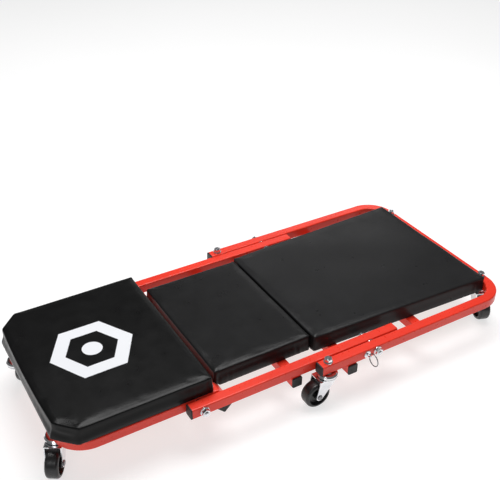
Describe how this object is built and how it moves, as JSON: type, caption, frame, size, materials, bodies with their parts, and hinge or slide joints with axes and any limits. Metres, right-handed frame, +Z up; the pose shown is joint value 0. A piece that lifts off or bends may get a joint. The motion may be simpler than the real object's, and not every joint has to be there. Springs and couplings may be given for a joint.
{
  "type": "mechanics creeper",
  "caption": "Low folding mechanics creeper: black padded cushions on a red square-tube frame in folding sections, carried on swivel casters.",
  "frame": {"origin": "on the floor under the middle of the whole outline of the creeper laid flat, which lies 10.5 mm from the centre plane towards the pull ring", "axes": "+X from the head end to the foot end, +Y to the far side, +Z up"},
  "size_m": [0.9505, 0.4723, 0.121],
  "materials": {
    "powder_coat": "gloss",
    "zinc": "satin",
    "dark_steel": "satin",
    "vinyl": "satin",
    "cap_plastic": "satin",
    "wheel_plastic": "satin",
    "plywood": "matte"
  },
  "bodies": {
    "foot_section": {"foot_frame": "powder_coat", "foot_front_crossbar": "powder_coat", "foot_rear_crossbar": "powder_coat", "foot_cushion_tabs": "powder_coat", "foot_end_caps": "cap_plastic", "foot_board": "plywood", "foot_cushion": "vinyl", "foot_board_screws": "dark_steel", "foot_caster_mounts": "zinc", "foot_caster_nuts": "zinc", "foot_bearing_balls": "dark_steel", "fold_pivot_bolts": "zinc", "fold_pivot_nuts": "zinc", "fold_pivot_washers": "zinc", "lock_bush": "zinc", "lock_spring": "dark_steel"},
    "middle_section": {"middle_rail_near": "powder_coat", "middle_rail_far": "powder_coat", "middle_diamond_bar": "powder_coat", "middle_crossbar": "powder_coat", "middle_end_caps": "cap_plastic", "diamond_bar_caps": "cap_plastic", "middle_cushion_tabs": "powder_coat", "middle_board": "plywood", "middle_cushion": "vinyl", "middle_board_screws": "dark_steel", "head_pivot_bolts": "zinc", "head_pivot_nuts": "zinc", "head_pivot_washers": "zinc"},
    "head_section": {"head_frame": "powder_coat", "head_front_crossbar": "powder_coat", "head_rear_crossbar": "powder_coat", "head_board": "plywood", "head_cushion": "vinyl", "head_board_screws": "dark_steel", "head_caster_mounts": "zinc", "head_caster_nuts": "zinc", "head_bearing_balls": "dark_steel"},
    "lock": {"lock_pin": "zinc"},
    "ring": {"pull_ring": "zinc"},
    "swivel_head_near": {"fork_head_near": "zinc", "axle_head_near": "dark_steel"},
    "roller_head_near": {"wheel_head_near": "wheel_plastic"},
    "swivel_head_far": {"fork_head_far": "zinc", "axle_head_far": "dark_steel"},
    "roller_head_far": {"wheel_head_far": "wheel_plastic"},
    "swivel_mid_near": {"fork_mid_near": "zinc", "axle_mid_near": "dark_steel"},
    "roller_mid_near": {"wheel_mid_near": "wheel_plastic"},
    "swivel_mid_far": {"fork_mid_far": "zinc", "axle_mid_far": "dark_steel"},
    "roller_mid_far": {"wheel_mid_far": "wheel_plastic"},
    "swivel_foot_near": {"fork_foot_near": "zinc", "axle_foot_near": "dark_steel"},
    "roller_foot_near": {"wheel_foot_near": "wheel_plastic"},
    "swivel_foot_far": {"fork_foot_far": "zinc", "axle_foot_far": "dark_steel"},
    "roller_foot_far": {"wheel_foot_far": "wheel_plastic"}
  },
  "joints": [
    {"name": "mid_fold", "type": "hinge", "parent": "foot_section", "child": "middle_section", "pos_m": [0.132, 0.0105, 0.078], "axis": [0, 1, 0], "range_deg": [0, 135]},
    {"name": "head_fold", "type": "hinge", "parent": "middle_section", "child": "head_section", "pos_m": [-0.213, 0.0105, 0.078], "axis": [0, -1, 0], "range_deg": [0, 135]},
    {"name": "lock_slide", "type": "slide", "parent": "foot_section", "child": "lock", "axis": [0, 1, 0], "range_m": [0, 0.005]},
    {"name": "ring_swing", "type": "hinge", "parent": "lock", "child": "ring", "pos_m": [0.109, -0.212, 0.078], "axis": [0, 0, 1], "range_deg": [-60, 60]},
    {"name": "swivel_head_near_turn", "type": "hinge", "parent": "head_section", "child": "swivel_head_near", "pos_m": [-0.441, -0.0955, 0.06], "axis": [0, 0, 1], "continuous": true},
    {"name": "wheel_head_near_roll", "type": "hinge", "parent": "swivel_head_near", "child": "roller_head_near", "pos_m": [-0.45398, -0.11521, 0.0255], "axis": [0.8351, -0.5501, 0], "continuous": true},
    {"name": "swivel_head_far_turn", "type": "hinge", "parent": "head_section", "child": "swivel_head_far", "pos_m": [-0.441, 0.1165, 0.06], "axis": [0, 0, 1], "continuous": true},
    {"name": "wheel_head_far_roll", "type": "hinge", "parent": "swivel_head_far", "child": "roller_head_far", "pos_m": [-0.42212, 0.13066, 0.0255], "axis": [-0.6, 0.8, 0], "continuous": true},
    {"name": "swivel_mid_near_turn", "type": "hinge", "parent": "foot_section", "child": "swivel_mid_near", "pos_m": [0.0283, -0.1945, 0.06], "axis": [0, 0, 1], "continuous": true},
    {"name": "wheel_mid_near_roll", "type": "hinge", "parent": "swivel_mid_near", "child": "roller_mid_near", "pos_m": [0.0047, -0.1945, 0.0255], "axis": [0, -1, 0], "continuous": true},
    {"name": "swivel_mid_far_turn", "type": "hinge", "parent": "foot_section", "child": "swivel_mid_far", "pos_m": [0.0283, 0.2155, 0.06], "axis": [0, 0, 1], "continuous": true},
    {"name": "wheel_mid_far_roll", "type": "hinge", "parent": "swivel_mid_far", "child": "roller_mid_far", "pos_m": [0.0047, 0.2155, 0.0255], "axis": [0, -1, 0], "continuous": true},
    {"name": "swivel_foot_near_turn", "type": "hinge", "parent": "foot_section", "child": "swivel_foot_near", "pos_m": [0.455, -0.1345, 0.06], "axis": [0, 0, 1], "continuous": true},
    {"name": "wheel_foot_near_roll", "type": "hinge", "parent": "swivel_foot_near", "child": "roller_foot_near", "pos_m": [0.44674, -0.15661, 0.0255], "axis": [0.9368, -0.3499, 0], "continuous": true},
    {"name": "swivel_foot_far_turn", "type": "hinge", "parent": "foot_section", "child": "swivel_foot_far", "pos_m": [0.455, 0.1555, 0.06], "axis": [0, 0, 1], "continuous": true},
    {"name": "wheel_foot_far_roll", "type": "hinge", "parent": "swivel_foot_far", "child": "roller_foot_far", "pos_m": [0.43848, 0.17235, 0.0255], "axis": [-0.7141, -0.7001, 0], "continuous": true}
  ]
}
